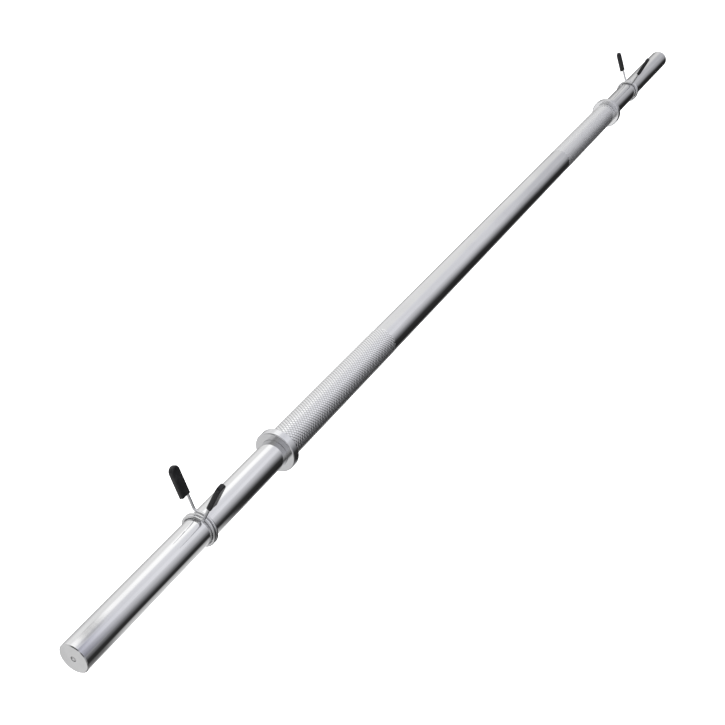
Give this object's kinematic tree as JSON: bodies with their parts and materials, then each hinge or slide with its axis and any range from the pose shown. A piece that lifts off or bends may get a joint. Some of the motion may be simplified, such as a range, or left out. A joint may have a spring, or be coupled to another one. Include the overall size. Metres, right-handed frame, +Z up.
{
  "type": "barbell",
  "caption": "Straight solid steel bar with plate collars, knurled grip bands and sprung wire clips that slide on the sleeves and let go when their handles are squeezed.",
  "frame": {"origin": "middle of the bar, on its axis", "axes": "+X along the bar, +Z up on the side where the clips' handles stand"},
  "size_m": [1.4, 0.048, 0.0731],
  "materials": {
    "bar_chrome": "polished, with knurled bands",
    "collar_chrome": "polished",
    "spring_wire": "bright plated spring wire",
    "grip_rubber": "satin black dipped grip"
  },
  "bodies": {
    "bar": {"shaft": "bar_chrome", "left_sleeve": "bar_chrome", "right_sleeve": "bar_chrome", "left_collar": "collar_chrome", "right_collar": "collar_chrome"},
    "left_clip": {"left_clip_coil": "spring_wire"},
    "left_clip_outer_handle": {"left_clip_outer_arm": "spring_wire", "left_clip_outer_grip": "grip_rubber"},
    "left_clip_inner_handle": {"left_clip_inner_arm": "spring_wire", "left_clip_inner_grip": "grip_rubber"},
    "right_clip": {"right_clip_coil": "spring_wire"},
    "right_clip_outer_handle": {"right_clip_outer_arm": "spring_wire", "right_clip_outer_grip": "grip_rubber"},
    "right_clip_inner_handle": {"right_clip_inner_arm": "spring_wire", "right_clip_inner_grip": "grip_rubber"}
  },
  "joints": [
    {"name": "left_clip_slide", "type": "slide", "parent": "bar", "child": "left_clip", "axis": [1, 0, 0], "range_m": [-0.143, 0.104]},
    {"name": "left_clip_turn", "type": "hinge", "parent": "left_clip", "child": "left_clip_outer_handle", "pos_m": [-0.5522, 0, 0], "axis": [1, 0, 0], "continuous": true},
    {"name": "left_clip_squeeze", "type": "hinge", "parent": "left_clip_outer_handle", "child": "left_clip_inner_handle", "pos_m": [-0.5522, 0, 0], "axis": [1, 0, 0], "range_deg": [0, 30], "stiffness_Nm_per_rad": 2.1, "springref_deg": -20.05, "deforming": ["left_clip_coil"]},
    {"name": "right_clip_slide", "type": "slide", "parent": "bar", "child": "right_clip", "axis": [-1, 0, 0], "range_m": [-0.1572, 0.0898]},
    {"name": "right_clip_turn", "type": "hinge", "parent": "right_clip", "child": "right_clip_outer_handle", "pos_m": [0.538, 0, 0], "axis": [-1, 0, 0], "continuous": true},
    {"name": "right_clip_squeeze", "type": "hinge", "parent": "right_clip_outer_handle", "child": "right_clip_inner_handle", "pos_m": [0.538, 0, 0], "axis": [-1, 0, 0], "range_deg": [0, 30], "stiffness_Nm_per_rad": 2.1, "springref_deg": -20.05, "deforming": ["right_clip_coil"]}
  ]
}
